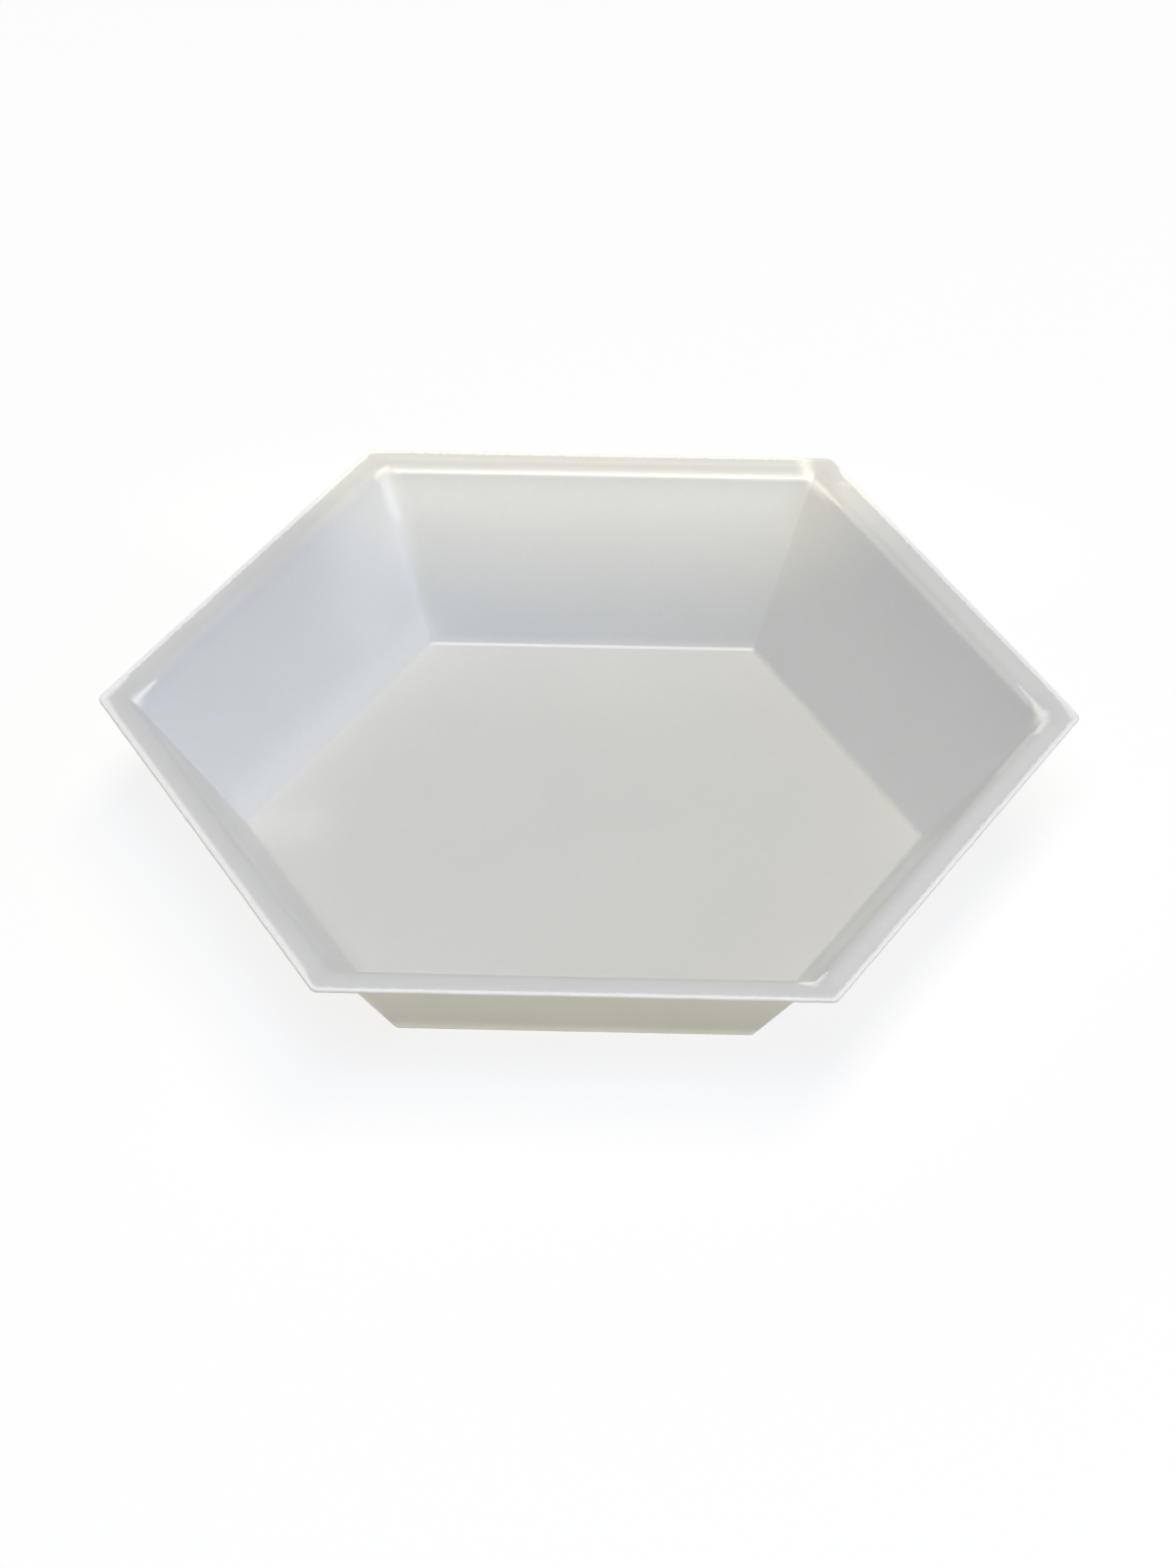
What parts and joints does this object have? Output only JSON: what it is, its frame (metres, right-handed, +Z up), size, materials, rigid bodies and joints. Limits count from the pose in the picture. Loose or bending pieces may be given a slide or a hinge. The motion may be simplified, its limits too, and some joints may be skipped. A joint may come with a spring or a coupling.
{
  "type": "weighing boat",
  "caption": "Hexagonal weighing boat formed from thin white plastic sheet, with a flat floor, sloping walls and a flat flange, for weighing and pouring powders and liquids.",
  "frame": {"origin": "centre of the base, on the surface the dish stands on", "axes": "+Z up out of the mouth; +X through one of the six corners, so that two of the walls face along Y"},
  "size_m": [0.1396, 0.1212, 0.0234],
  "materials": {
    "sheet": "satin white polystyrene sheet, slightly translucent"
  },
  "bodies": {
    "root": {"dish": "sheet"}
  },
  "joints": []
}
